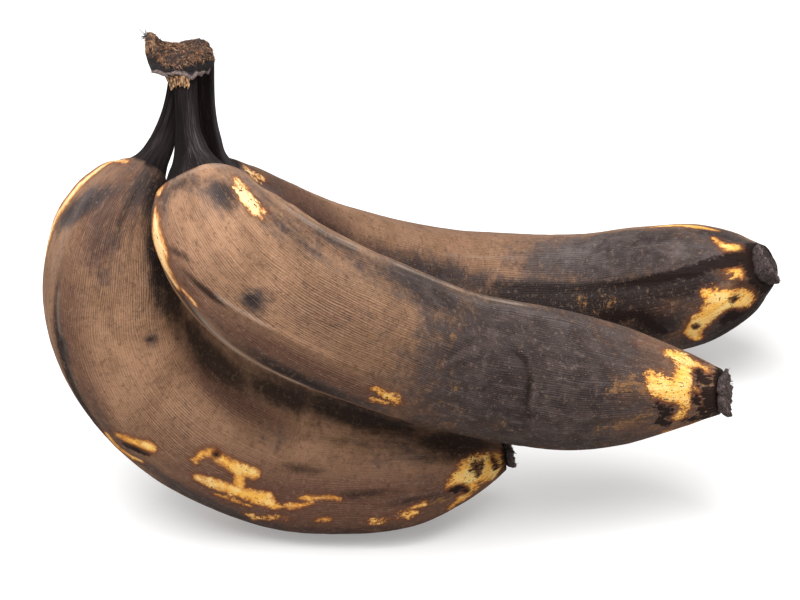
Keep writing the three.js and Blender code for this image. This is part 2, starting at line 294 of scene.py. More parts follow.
def place_at(name, data, place, target):
    """A camera or lamp in the scene, turned to look at the target."""
    thing = bpy.data.objects.new(name, data)
    thing.location = place
    thing.rotation_euler = (Vector(target) - thing.location).to_track_quat("-Z", "Y").to_euler()
    scene.collection.objects.link(thing)
    return thing


def make_camera():
    target = Vector(CAMERA_TARGET) * MM
    lens = bpy.data.cameras.new("camera")
    lens.sensor_fit = "HORIZONTAL"
    lens.angle = CAMERA_ANGLE
    lens.clip_start = 0.01
    away = CAMERA_DISTANCE * Vector((0, -math.cos(CAMERA_TILT), math.sin(CAMERA_TILT)))
    scene.camera = place_at("camera", lens, target + away, target)


def make_light():
    lamp = bpy.data.lights.new("softbox", "AREA")
    lamp.shape = "RECTANGLE"
    lamp.size, lamp.size_y, lamp.energy = LAMP_WIDTH, LAMP_DEPTH, LAMP_WATTS
    place_at("softbox", lamp, LAMP_PLACE, LAMP_TARGET)
    world = bpy.data.worlds.new("studio")
    scene.world = world
    world.use_nodes = True
    sky = world.node_tree.nodes["Background"].inputs
    sky["Strength"].default_value = SKY_STRENGTH
    sky["Color"].default_value = (1, 1, 1, 1)


# ---- repeatable mottling for shapes
def lattice(ix, iy, iz, seed):
    """A repeatable number from -1 to 1 for each whole-number point."""
    mixed = (ix * 374761393 + iy * 668265263 + iz * 1442695041 + seed * 974634777) & 0xFFFFFFFF
    mixed = ((mixed ^ (mixed >> 13)) * 1274126177) & 0xFFFFFFFF
    return ((mixed ^ (mixed >> 16)) & 0xFFFF) / 32767.5 - 1


def mottle(points, size, seed):
    """Smooth noise from -1 to 1 whose lumps are about `size` across."""
    scaled = np.asarray(points, float) / size
    cell = np.floor(scaled).astype(np.int64)
    part = scaled - cell
    part = part * part * (3 - 2 * part)
    total = 0
    for corner in np.ndindex(2, 2, 2):
        weight = np.prod([part[..., k] if corner[k] else 1 - part[..., k] for k in range(3)], axis=0)
        total = total + weight * lattice(*[cell[..., k] + corner[k] for k in range(3)], seed)
    return total


def shaken(points, size, seed):
    """Three mottles, for moving points along x, y and z."""
    return np.stack([mottle(points, size, seed + k) for k in range(3)], 1)


def fade(x, low, high):
    """0 below low, 1 above high, smooth between. With low above high it falls instead."""
    share = np.clip((x - low) / (high - low), 0, 1)
    return share * share * (3 - 2 * share)


def unit(vectors):
    return vectors / np.linalg.norm(vectors, axis=-1, keepdims=True)


# ---- mesh helpers
def mesh_piece(name, node, points, faces, finish, values):
    """A piece from points in millimetres, with values kept at each point for its material.

    The value "grain", where the material's noises run, is the point itself unless it is given.
    """
    mesh = bpy.data.meshes.new(name)
    mesh.from_pydata((np.asarray(points) * MM).tolist(), [], faces, shade_flat=False)
    mesh.validate()
    for key, value in {"grain": points, **values}.items():
        value = np.asarray(value, np.float32)
        wide = value.size > len(points)
        store = mesh.attributes.new(key, "FLOAT_VECTOR" if wide else "FLOAT", "POINT")
        store.data.foreach_set("vector" if wide else "value", value.ravel())
    mesh.materials.append(finish)
    piece = bpy.data.objects.new(name, mesh)
    scene.collection.objects.link(piece)
    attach(piece, "root")
    if node:
        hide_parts(node)


def ring_faces(grid):
    """Quads between neighbouring rows of a grid of corners, each row closed on itself."""
    beside = np.roll(grid, -1, axis=1)
    return np.stack([grid[:-1], beside[:-1], beside[1:], grid[1:]], -1).reshape(-1, 4).tolist()


def tube_faces(rows, around, start=0):
    """Rings of points with a flat face over each end."""
    grid = np.arange(start, start + rows * around).reshape(rows, around)
    return ring_faces(grid) + [grid[0, ::-1].tolist(), grid[-1].tolist()]


class Heap:
    """The parts of one piece: their points, their faces and the values at each point."""

    def __init__(self):
        self.points, self.faces, self.values = [], [], {}

    def add(self, points, faces, **values):
        start = len(self.points)
        self.points.extend(points)
        self.faces.extend([corner + start for corner in face] for face in faces)
        for name, value in values.items():
            self.values.setdefault(name, []).extend(np.broadcast_to(value, len(points)))


# ---- materials
class Flow:
    """A value inside a material. Maths on it adds the Math nodes."""

    def __init__(self, finish, socket):
        self.finish, self.socket = finish, socket

    def __add__(self, other):
        return self.finish.maths("ADD", self, other)

    def __sub__(self, other):
        return self.finish.maths("SUBTRACT", self, other)

    def __mul__(self, other):
        return self.finish.maths("MULTIPLY", self, other)

    __radd__ = __add__


class Finish:
    """A material and the few kinds of step that the finishes here are made of."""

    def __init__(self, name):
        self.material = bpy.data.materials.new(name)
        self.material.use_nodes = True
        self.tree = self.material.node_tree
        self.tree.nodes.clear()

    def node(self, kind, sockets, out=0, **settings):
        """Any node: its settings first, then the value or link of each socket named or numbered."""
        step = self.tree.nodes.new("ShaderNode" + kind)
        for key, value in settings.items():
            setattr(step, key, value)
        for key, value in sockets.items():
            if isinstance(value, Flow):
                self.tree.links.new(value.socket, step.inputs[key])
            else:
                step.inputs[key].default_value = value
        return Flow(self, step.outputs[out]) if step.outputs else step

    def maths(self, operation, first, second):
        return self.node("Math", {0: first, 1: second}, operation=operation)

    def kept(self, name, out="Fac"):
        """A value kept at each point of the mesh."""
        return self.node("Attribute", {}, out, attribute_name=name)

    def place(self):
        return self.kept("grain", "Vector")

    def stretch(self, place, scale, shift=(0, 0, 0)):
        """The place with its z scaled, so that noise on it is drawn out, and then moved."""
        scaled = self.node("VectorMath", {0: place, 1: (1, 1, scale)}, operation="MULTIPLY")
        return self.node("VectorMath", {0: scaled, 1: shift}, operation="ADD")

    def noise(self, place, size, detail=3, rough=0.55, warp=0):
        """Noise about 0.5 whose lumps are `size` across, in the units of the place."""
        return self.node("TexNoise", {
            "Vector": place, "Scale": 1 / size, "Detail": detail, "Roughness": rough, "Distortion": warp})

    def step(self, value, low, high):
        """0 below low, 1 above high, smooth between. With low above high it falls instead."""
        ends = (0, 1) if low < high else (1, 0)
        return self.node("MapRange", {
            "Value": value, "From Min": min(low, high), "From Max": max(low, high),
            "To Min": ends[0], "To Max": ends[1]}, interpolation_type="SMOOTHSTEP")

    def mix(self, share, first, second, way="MIX"):
        sockets = {0: share, 6: colour(first), 7: colour(second)}
        return self.node("Mix", sockets, 2, data_type="RGBA", blend_type=way)

    def over(self, base, *layers):
        """Colours laid over a base in turn, each given as (share, colour)."""
        for share, tint in layers:
            base = self.mix(share, base, tint)
        return base

    def surface(self, skin, rough, height, depth, shine=0.5):
        """The shader, with relief `depth` metres deep, and the output."""
        relief = self.node("Bump", {"Height": height, "Distance": depth, "Strength": 1})
        shader = self.node("BsdfPrincipled", {
            "Base Color": skin, "Roughness": rough, "Specular IOR Level": shine, "Normal": relief})
        self.node("OutputMaterial", {"Surface": shader})
        return self.material


def colour(value):
    """A colour written as (red, green, blue) of 255, as a shader takes it. A flow passes through."""
    if isinstance(value, Flow):
        return value
    share = [part / 255 for part in value]
    return (*[part / 12.92 if part < 0.04045 else ((part + 0.055) / 1.055) ** 2.4 for part in share], 1)


LINES = 200  # fine lines around a fruit
DIM = (230, 230, 230)  # dead peel takes less light than ripe peel
FLOOR_SEEN, FLOOR_BEHIND, FLOOR_LIFT = (230, 230, 230), (172, 168, 164), 0.24
BROWN_LOW, BROWN_HIGH = (156, 118, 91), (199, 153, 120)
GREY_LOW, GREY_HIGH = (62, 53, 52), (84, 73, 71)
GOLD, PALE_GOLD, CREAM, ORANGE = (255, 192, 90), (255, 218, 140), (252, 220, 176), (206, 130, 60)
SOOT_AND_SHADE, BURNT_BROWN, BURNT_BLACK = (38, 29, 27), (96, 54, 36), (33, 23, 21)
STALK_LOW, STALK_HIGH = (25, 19, 19), (52, 43, 43)


def peel_finish():
    """Overripe peel: brown and lined, grey where it has dried, yellow where it has not."""
    peel = Finish("overripe peel")
    step, noise, stretch = peel.step, peel.noise, peel.stretch
    grain = peel.place()
    kept = "yellow black tan dusk dull bloom smoke broken lined pale stem along"
    yellow, black, tan, dusk, dull, bloom, smoke, broken, lined, pale, stem, along = map(
        peel.kept, kept.split())

    # Noises, from broad clouds to fine grit. Hair and streak are drawn out along the fruit.
    cloud = noise(grain, 13, 4, 0.6)
    blot = noise(stretch(grain, 0.7, (9, 2, 40)), 4.5, 5, 0.65)
    hair = noise(stretch(grain, 0.03), 0.5, 3, 0.6)
    streak = noise(stretch(grain, 0.2, (31, 7, 3)), 1.5, 3, 0.6, 0.4)
    grit = noise(grain, 0.7, 2, 0.7)
    crumb = noise(grain, 1.5, 5, 0.75)
    clouds, blots, hairs, streaks, grits, crumbs = (
        flow - 0.5 for flow in (cloud, blot, hair, streak, grit, crumb))

    # The fine lines: LINES of them around the fruit, each wandering a little
    x, y = (peel.node("SeparateXYZ", {"Vector": grain}, axis) for axis in "XY")
    turn = peel.maths("ARCTAN2", y, x)
    sway = (noise(stretch(grain, 0.3), 9, 2) - 0.5) * 26
    sway = sway + (noise(stretch(grain, 0.06, (5, 8, 1)), 2.6, 2) - 0.5) * 12
    wave = peel.maths("SINE", turn * LINES + sway, 0)
    worn = step(noise(stretch(grain, 0.3, (2, 2, 9)), 1.1, 3, 0.7), 0.34, 0.6)
    gap = step(wave, 0, 0.95) * lined * worn
    ridge = step(wave, -0.3, -1) * lined * worn

    brown = peel.over(
        peel.mix(step(cloud, 0.34, 0.66), BROWN_LOW, BROWN_HIGH),
        # darker, redder peel, partly painted shade on the lower flanks
        (step(dull + clouds * 0.8, 0.15, 0.9) * 0.9, (104, 72, 61)),
        (step(blot, 0.55, 0.8) * 0.6, (104, 72, 56)),
        (step(noise(grain, 2.4, 5, 0.8), 0.53, 0.66) * 0.5, (84, 59, 50)),
        (step(hair, 0.5, 0.64) * 0.15, (92, 64, 49)),
        (gap * 0.68, (70, 48, 38)), (ridge * 0.42, (222, 182, 146)))
    grey = peel.over(
        peel.mix(step(blot, 0.35, 0.7), GREY_LOW, GREY_HIGH),
        (step(hair, 0.5, 0.64) * 0.25, (50, 42, 42)),
        (gap * 0.7, (34, 27, 27)), (ridge * 0.3, (150, 134, 128)),
        (step(crumb, 0.52, 0.7) * 0.5, (48, 39, 39)),
        (step(cloud + blots * 0.9 + crumbs, 0.46, 0.8) * 0.5, (98, 81, 74)),
        (step(streak, 0.55, 0.7) * 0.35, (128, 112, 106)))
    dried = step(dusk + blots * 0.8 + clouds * 0.7 + crumbs * 0.3, 0.2, 0.85)
    # Blackened peel and painted shade: under the front fruit, in the creases and down the front stem's
    # shaded side
    scorched_and_shaded = step(smoke + blots * 0.6 + streaks * 0.25, 0.22, 0.85)
    dead = peel.over(
        brown, (dried, grey), (scorched_and_shaded * 0.88, SOOT_AND_SHADE),
        (step(crumb, 0.53, 0.68) * 0.4, (66, 47, 40)), (step(crumb, 0.46, 0.34) * 0.2, (196, 160, 134)),
        # pale grey bloom and painted sheen
        (step(bloom + blots * 0.4 + (wave * -0.12) * lined, 0, 0.7) * 0.7, (158, 148, 146)),
        (step(grit, 0.62, 0.72) * 0.45, (56, 42, 36)),
        (step(noise(grain, 0.55, 1), 0.7, 0.78) * 0.4, (200, 176, 156)),
        (step(tan * 0.5 + crumbs * 9 + streaks * 3, 0.2, 1.4) * 0.6, (178, 130, 84)))

    # Yellow and black are kept as millimetres inside their edges, which are made ragged here
    ragged = blots * 2.6 + crumbs * 2.6 + streaks * 1.2
    edge = yellow + ragged + broken * (crumbs * 7 + blots * 4) + 0.25
    burnt = black + ragged + broken * (blots * 4 + crumbs * 5) + 0.3
    ripe = peel.over(
        peel.mix(step(blot, 0.4, 0.62), GOLD, PALE_GOLD),
        (step(along, 90, 64) * 0.6, CREAM),
        (step(edge + crumbs * 3, 1.9, 0.2) * 0.85, ORANGE),
        (step(noise(grain, 0.9, 2, 0.6) + broken * 0.05, 0.64, 0.7), (86, 48, 34)))
    stalk = peel.over(
        peel.mix(step(hair, 0.42, 0.64), STALK_LOW, STALK_HIGH),
        (step(crumb, 0.5, 0.68) * 0.6, (20, 15, 15)), (step(streak, 0.6, 0.76) * 0.5, (84, 76, 78)),
        # painted highlights on the lit side of the stems, and their shaded side painted near-black
        (step(bloom + streaks * 1.4 + hairs, 0.15, 0.8) * 0.5, (104, 98, 102)),
        (scorched_and_shaded * 0.92, (17, 13, 13)))
    skin = peel.over(
        peel.mix(1, dead, DIM, "MULTIPLY"),
        (step(edge, -2, 0.2) * 0.6, (104, 60, 40)), (step(edge, -0.4, 0.8), ripe),
        (step(burnt, -1.4, -0.3) * step(edge, -1.2, 0.4) * 0.92, BURNT_BROWN),
        (step(burnt, -0.4, 0.6) * 0.96, BURNT_BLACK),
        # pale ridges and painted highlights along edges, and the tan strip painted for the shaded floor
        # between two fruits
        (pale * 0.6, (176, 158, 144)), (stem, stalk))

    height = hairs * 0.6 + grits * 0.4 + streaks * 0.4 + crumbs * 0.3 - wave * lined * 0.16
    rough = 0.52 + blots * 0.3 + stem * 0.12 - dried * 0.05
    return peel.surface(skin, rough, height, 0.0004, shine=0.07)


def crown_finish():
    """Torn crown: red-brown fibres with painted highlights on the palest, a dark band below painted as the
    shade under the cut's edge, a grey-lilac curled edge and brown paper.
    """
    crown = Finish("torn crown fibres")
    step = crown.step
    place = crown.place()
    part, tip, tone = map(crown.kept, ("part", "tip", "tone"))
    fuzz = crown.noise(place, 0.5, 4, 0.7)
    lump = crown.noise(place, 1.8, 3, 0.6)
    thread = crown.noise(crown.stretch(place, 0.2), 0.45, 3, 0.6)
    cut = crown.over(
        crown.mix(step(fuzz * 0.5 + tone * 0.5, 0.36, 0.68), (30, 17, 14), (156, 108, 84)),
        (step(lump, 0.5, 0.68) * 0.4, (172, 112, 70)),
        # painted highlights on the palest fibres
        (step(tone, 0.7, 0.92) * 0.9, (244, 198, 160)),
        (tip * step(lump, 0.4, 0.6), (206, 158, 118)))
    # The band is painted shade under the torn cut's edge.
    band = crown.mix(step(fuzz, 0.45, 0.65), (30, 24, 27), (62, 51, 54))
    rim = crown.mix(step(fuzz, 0.4, 0.6), (84, 70, 68), (150, 130, 124))
    paper = crown.mix(step(thread, 0.42, 0.6), (84, 54, 38), (224, 176, 128))
    # The value "part" is 0 on the cut, 1 on the band of painted shade, 2 on the curled edge and 3 on the
    # paper
    skin = crown.over(cut, (step(part, 0.3, 0.7), band), (step(part, 1.3, 1.7), rim),
                      (step(part, 2.3, 2.7), paper))
    return crown.surface(crown.mix(1, skin, DIM, "MULTIPLY"), 0.8, fuzz, 0.0003)


def blossom_finish():
    """Dried blossom end: dark frayed husk, paler at its rim and fibre tips, partly paler husk and partly
    painted highlights.
    """
    husk = Finish("dried blossom end")
    place = husk.place()
    fuzz = husk.noise(place, 0.6, 4, 0.7)
    lump = husk.noise(place, 2.2, 3, 0.6)
    skin = husk.over(
        husk.mix(husk.step(fuzz, 0.4, 0.62), (24, 18, 18), (88, 70, 68)),
        (husk.step(lump, 0.52, 0.68) * 0.6, (112, 92, 84)),
        # paler rim and fibre tips: partly paler husk, partly painted highlights
        (husk.kept("edge") * husk.step(fuzz, 0.42, 0.6) * 0.7, (146, 122, 116)))
    return husk.surface(husk.mix(1, skin, DIM, "MULTIPLY"), 0.75, fuzz, 0.0003)


def floor_finish():
    """A white sweep: seen straight on it is pure white where nothing shades it."""
    floor = Finish("white sweep")
    seen = floor.node("LightPath", {}, "Is Camera Ray")
    diffuse = floor.node("BsdfDiffuse", {"Color": floor.mix(seen, FLOOR_BEHIND, FLOOR_SEEN)})
    lift = floor.node("Emission", {"Color": (1, 1, 1, 1), "Strength": FLOOR_LIFT})
    shown = floor.node("MixShader", {0: seen, 2: lift})
    floor.node("OutputMaterial", {0: floor.node("AddShader", {0: diffuse, 1: shown})})
    return floor.material


# ---- a fruit's own surface
TUBE_RADIUS, TUBE_SPACING = 20, 300  # the plain tubes that each fruit's noises run on
BODY_RADIUS, SEAM_GAIN = 21, 1.3  # seams and creases are lower where the radius is under 21 / 1.3
LEAST_GIRTH = 6  # marks don't narrow further than on this radius
RIDGES, RIDGE_RISE = 5, 0.025
SMUDGE_FALL = 0.9  # how fast a smudge fades out


def through(points, share):
    """A smooth line through the points, at places 0..1 along it."""
    points = np.asarray(points, float)
    padded = np.vstack([2 * points[0] - points[1], points, 2 * points[-1] - points[-2]])
    place = np.clip(share, 0, 1) * (len(points) - 1)
    first = np.minimum(place.astype(int), len(points) - 2)
    t = (place - first)[:, None]
    a, b, c, d = (padded[first + k] for k in range(4))
    bent = (2 * a - 5 * b + 4 * c - d) * t ** 2 + (3 * b - a - 3 * c + d) * t ** 3
    return 0.5 * (2 * b + (c - a) * t + bent)


def soften(values, reach):
    """Evens out a row of values with its neighbours and keeps its ends."""
    kernel = np.exp(-np.linspace(-2, 2, 2 * reach + 1) ** 2)
    kernel /= kernel.sum()
    padded = np.pad(values, ((reach, reach), (0, 0)), mode="reflect", reflect_type="odd")
    return np.stack([np.convolve(padded[:, k], kernel, mode="valid") for k in range(values.shape[1])], 1)


def spine(side):
    """The fruit's rows: centre, radius, length along it, and the frame across it."""
    dense = through(STATIONS[side], np.linspace(0, 1, 1500))
    dense[:, 3] = np.maximum(dense[:, 3], 3)
    dense = soften(dense, 10)
    dense[:, :2] -= BUNCH_MIDDLE
    step = np.linalg.norm(np.diff(dense[:, :3], axis=0), axis=1)
    length = np.concatenate([[0], np.cumsum(step)])
    along = np.linspace(0, length[-1], ROWS)
    rows = np.stack([np.interp(along, length, dense[:, k]) for k in range(4)], 1)
    tangent = unit(np.gradient(rows[:, :3], axis=0))
    across, frames = np.array([1.0, 0, 0]), []
    for direction in tangent:
        across = unit(across - direction * (across @ direction))
        frames.append(across)
    frames = np.array(frames)
    return rows[:, :3], rows[:, 3], along, frames, np.cross(frames, tangent), tangent


def spokes(across, out, turn):
    """Directions away from the spine, at angles around it."""
    return across * np.sin(turn)[..., None] + out * np.cos(turn)[..., None]


def tucked(y, side, along):
    """Leans the top of a stem in under the crown."""
    return y + TUCK[side] * (1 - fade(along, 0, 9))


class Peel:
    """The unrolled peel of one fruit, where marks and relief are laid out."""

    def __init__(self, along, radius, around):
        self.along, self.around = np.meshgrid(along, around, indexing="ij")
        self.radius = np.broadcast_to(radius[:, None], self.along.shape)
        self.girth = np.maximum(self.radius, LEAST_GIRTH)

    def offset(self, along, around):
        """Millimetres from a place: along the fruit, and around it."""
        turned = (self.around - around + 180) % 360 - 180
        return self.along - along, np.radians(turned) * self.girth

    def beside(self, start, end):
        """How far along the line between two places each point is, and how far from it."""
        u, v = self.offset(start[0], start[1])
        end_u, end_v = end[0] - start[0], math.radians(end[1] - start[1]) * self.girth
        share = np.clip((u * end_u + v * end_v) / (end_u ** 2 + end_v ** 2 + 1e-9), 0, 1)
        return share, np.hypot(u - share * end_u, v - share * end_v)

    def bands(self, chains):
        """Millimetres inside the nearest band's edge, negative outside."""
        inside = np.full(self.along.shape, -8.0)
        for places in chains:
            for start, end in zip(places, places[1:] or places):
                share, away = self.beside(start, end)
                inside = np.maximum(inside, start[2] + (end[2] - start[2]) * share - away)
        return inside

    def oval(self, along, around, half_long, half_wide, strength=1, turn=0):
        """A soft oval smudge, at its strength in the middle."""
        u, v = self.offset(along, around)
        c, s = math.cos(math.radians(turn)), math.sin(math.radians(turn))
        away = np.hypot((u * c + v * s) / half_long, (v * c - u * s) / half_wide)
        return strength * np.exp(-SMUDGE_FALL * away ** 2)

    def stroke(self, places, height, half_width):
        """A ridge along a line through places, with soft sides and tapering ends."""
        spans = [math.dist((a, 0.36 * b), (c, 0.36 * d)) for (a, b), (c, d) in zip(places, places[1:])]
        best, share_at = np.full(self.along.shape, 1e9), np.zeros(self.along.shape)
        done = 0
        for start, end, span in zip(places, places[1:], spans):
            share, away = self.beside(start, end)
            nearer = away < best
            best = np.where(nearer, away, best)
            share_at = np.where(nearer, (done + share * span) / sum(spans), share_at)
            done += span
        taper = fade(share_at, 0, 0.15) * fade(share_at, 1, 0.85)
        return height * np.exp(-(best / half_width) ** 2) * taper

    def smudges(self, ovals):
        return np.max([self.oval(*oval) for oval in ovals], axis=0)

    def strokes(self, lines):
        return np.max([self.stroke(*line) for line in lines], axis=0)


def fruit(side, finish):
    centre, radius, along, across, out, tangent = spine(side)
    peel = Peel(along, radius, np.linspace(0, 360, ROUND, endpoint=False))
    a, s = np.radians(peel.around), peel.along
    grain = np.stack([TUBE_RADIUS * np.cos(a), TUBE_RADIUS * np.sin(a), s + TUBE_SPACING * len(side)], -1)
    neck, end = NECK[side], along[-1]

    def rough(size, seed, scale=1):
        return mottle(grain * (1, 1, scale), size, seed)

    body = fade(s, neck - 6, neck + 14)
    relief = body * 0.06 * rough(1.6, 6, 0.03)
    relief += body * (0.3 * rough(27, 1) + 0.2 * rough(10, 2, 0.7))
    relief += body * 0.05 * rough(2.6, 3) + peel.smudges(SWELLS[side])

    # Ruffles: short wrinkles across the fruit
    across_grain = grain * (0.16, 0.16, 1) + 0.9 * rough(8, 13)[..., None]
    ruffled = peel.smudges(RUFFLES[side]) * (0.5 + 0.5 * rough(9, 14))
    relief += 0.32 * ruffled * (mottle(across_grain, 2.1, 15) + 0.5 * mottle(across_grain, 1.2, 16))

    # Seams stand out. Each crease is a groove with a low lip behind it.
    creases = peel.strokes(CREASES[side])
    lips = peel.strokes([([(place + 2.4, turn) for place, turn in places], height * 0.6, width * 1.4)
                         for places, height, width in CREASES[side]])
    full = np.minimum(peel.radius / BODY_RADIUS * SEAM_GAIN, 1)
    relief += (peel.strokes(SEAMS[side]) + lips - creases) * full

    # The stem is fluted, and the fruit's shoulder stands out round it
    stalk = 1 - fade(s, neck - 8, neck + 2)
    relief += stalk * (0.22 * np.cos(3 * a + 1) + 0.3 * rough(9, 8, 0.1) - 0.25)
    relief += stalk * 0.12 * rough(3, 9, 0.05)
    lip = s - neck + 0.4 * rough(5, 17)
    shoulder = fade(lip, -0.8, 0.4) * (1 - fade(lip, 1, 9)) - fade(lip, -8, -1) * fade(lip, 0.4, -0.8)
    relief += SHOULDER[side] * shoulder
    relief += fade(s, end - 9, end) * 0.45 * rough(5, 10, 0.15)

    reach = peel.radius * (1 + RIDGE_RISE * np.cos(RIDGES * (a + RIDGE_TURN[side]))) + relief
    points = centre[:, None] + spokes(across[:, None], out[:, None], a) * reach[..., None]
    points[..., 1] = tucked(points[..., 1], side, s)
    points[..., 2] = np.clip(points[..., 2], 0, CROWN_BASE - GAP)

    values = {name: peel.bands(table[side]) for name, table in BANDS.items()}
    # Some of these smudges and lines are painted shade and painted highlights, as their tables say.
    values.update({name: peel.smudges(table[side]) for name, table in SMUDGES.items()})
    # The creases are painted dark as well as cut in: painted shade in their grooves.
    values["smoke"] = np.maximum(values["smoke"], creases * (0.8 + 0.6 * rough(4, 18)))
    values["lined"] *= (0.8 + 0.35 * rough(22, 7)) * body
    values["pale"] = np.clip(peel.strokes(PALE_AND_PAINTED_LIGHT_LINES[side]) * (0.8 + 0.6 * rough(5, 12)), 0, 1)
    values["stem"] = 1 - fade(s + 0.6 * rough(3, 11, 0.3), neck - 0.6, neck + 0.6)
    values.update(grain=grain, along=s)
    mesh_piece(f"fruit_{side}", f"banana_{side}", points.reshape(-1, 3),
               tube_faces(ROWS, ROUND), finish, values)
    return centre[-1], tangent[-1], across[-1]


# ---- loose fibres
FIBRE_RINGS = ((0, 1), (0.4, 0.85), (0.75, 0.55), (1, 0.12))  # share of the length and of the width
FIBRE_TURNS = (0, 2.094, 4.189)
FIBRE_POINTS = len(FIBRE_RINGS) * len(FIBRE_TURNS)


def fibres(roots, directions, lengths, widths, droop, random):
    """Thin tapered three-sided fibres: their points, faces and how near the tip each point is."""
    lengths, widths = random.uniform(*lengths, len(roots)), random.uniform(*widths, len(roots))
    points, faces, tips = [], [], []
    for root, direction, length, width in zip(roots, directions, lengths, widths):
        direction = unit(direction)
        side = unit(np.cross(direction, random.normal(size=3)))
        other = np.cross(direction, side)
        bend = random.normal(size=3) * 0.35 + np.array([0, 0, -droop])
        start = len(points)
        for share, thick in FIBRE_RINGS:
            middle = root + direction * length * share + bend * length * share ** 2
            for turn in FIBRE_TURNS:
                points.append(middle + (side * math.cos(turn) + other * math.sin(turn)) * width * thick)
                tips.append(share)
        faces += tube_faces(len(FIBRE_RINGS), len(FIBRE_TURNS), start)
    return points, faces, tips


# ---- crown, in millimetres from the middle of its underside
CROWN_MIDDLE = (58.2 - BUNCH_MIDDLE[0], 21 - BUNCH_MIDDLE[1])
CROWN_HALF_DEPTH = 6.4
CUT_X, CUT_HALF_WIDTH = -1.1, 9.6  # the torn cut's middle and half width
CUT_DROP = 1.1  # how far the cut rounds off at its rim
CUT_RINGS, WALL_RINGS, CROWN_ROUND = 60, 34, 200
MATTED, FRINGING, WISPS = 2300, 260, 16  # fibres of each kind
CUT_ACROSS = [-10.8, -10, -8.8, -7.4, -6, -4, -1.6, 1.2, 3.8, 6.2, 7.6, 8.6]
CUT_HEIGHT = [10.4, 11.2, 10.2, 7.6, 6.1, 5.4, 5.2, 6.0, 6.9, 6.8, 5.8, 4.0]
# The curled edge's section: how far out and how high
CURL = ((-0.9, 2.6), (-0.2, 2.5), (0.3, 2.1), (0.7, 1.6), (1.1, 1.0), (1.1, 0.6), (0.6, 0.7),
        (0.0, 1.2), (-0.8, 1.6))
# The curled edge's first rows are coloured as the band: painted shade.
CURL_ROUND, CURL_DARK_ROWS = 260, 3
CURL_X, CURL_HALF_WIDTH, CURL_HALF_DEPTH = -0.9, 8.0, 6.3
HORN = (-10.2, 0, 10.2)  # the cut's highest corner, where the wisp grows


def on_cut(share, turned, half=CUT_HALF_WIDTH):
    """Places on the torn cut, 0..1 of the way out to its rim."""
    return CUT_X + half * share * np.cos(turned), CROWN_HALF_DEPTH * share * np.sin(turned)


def cut_height(x, share):
    """Height of the torn cut above the crown's underside: a horn, a dip and a hump."""
    return np.interp(x, CUT_ACROSS, CUT_HEIGHT) - CUT_DROP * share ** 6


def crown_block():
    """The crown's solid part: the torn cut and the wall down to its underside."""
    turn = np.linspace(0, 2 * np.pi, CROWN_ROUND, endpoint=False)
    points, part = [], []
    for ring in range(1, CUT_RINGS + 1):
        x, y = on_cut(ring / CUT_RINGS, turn)
        points.append(np.stack([x, y, cut_height(x, ring / CUT_RINGS)], 1))
        part.append(np.zeros(CROWN_ROUND))
    rim = points[-1]
    for ring in range(1, WALL_RINGS + 1):
        share = ring / WALL_RINGS
        wide = 1 + 0.04 * math.sin(math.pi * share) - 0.07 * share ** 2
        z = rim[:, 2] * (1 - share)
        points.append(np.stack([(rim[:, 0] - CUT_X) * wide + CUT_X, rim[:, 1] * wide, z], 1))
        ragged = 0.9 * mottle(points[-1] * (1, 1, 0), 2.2, 21)
        # the band's painted shade runs down the wall below the cut
        part.append(fade(share, 0.04, 0.22 + 0.1 * ragged.mean()) * fade(5.2 + ragged - z, 0, 0.8))
    points, part = np.concatenate(points), np.concatenate(part)
    tear = 0.55 * mottle(points, 1.3, 22) + 0.3 * mottle(points, 0.6, 23)
    tear += 0.5 * mottle(points * (1, 1, 0.5), 3, 24)
    outward = points * (1, 1, 0) - (CUT_X, 0, 0)
    outward /= np.linalg.norm(outward, axis=1)[:, None] + 1e-6
    rim_at = CUT_RINGS * CROWN_ROUND
    upward = fade(np.arange(len(points)), rim_at, rim_at - 18 * CROWN_ROUND)[:, None]
    torn_way = outward * (1 - upward) + np.array([0, 0, 1]) * upward
    points += torn_way * (tear * (1 - 0.75 * part))[:, None]
    points[:, 2] = np.maximum(points[:, 2], 0)
    faces = [face[::-1] for face in tube_faces(CUT_RINGS + WALL_RINGS, CROWN_ROUND)]
    return points, faces, part


def curled_edge():
    """The curled edge of peel under the crown."""
    turn = np.linspace(0, 2 * np.pi, CURL_ROUND, endpoint=False)
    wave = 0.9 * np.sin(3 * turn + 0.6) + 0.7 * np.sin(8 * turn + 2)
    wave += 0.7 * np.sin(17 * turn) * fade(np.cos(turn), -0.3, 0.4)
    ribbon = []
    for reach, rise in CURL:
        flare = reach + 0.25 * np.sin(5 * turn + 1)
        x = CURL_X + (CURL_HALF_WIDTH + flare) * np.cos(turn)
        ribbon.append(np.stack([x, (CURL_HALF_DEPTH + flare) * np.sin(turn), rise + wave * 0.6], 1))
    ribbon = np.concatenate(ribbon)
    ribbon += 0.2 * shaken(ribbon, 1.4, 31)
    grid = np.arange(len(ribbon)).reshape(-1, CURL_ROUND)
    closed = ring_faces(np.vstack([grid, grid[:1]]))  # the last row joins the first
    return ribbon, [face[::-1] for face in closed]


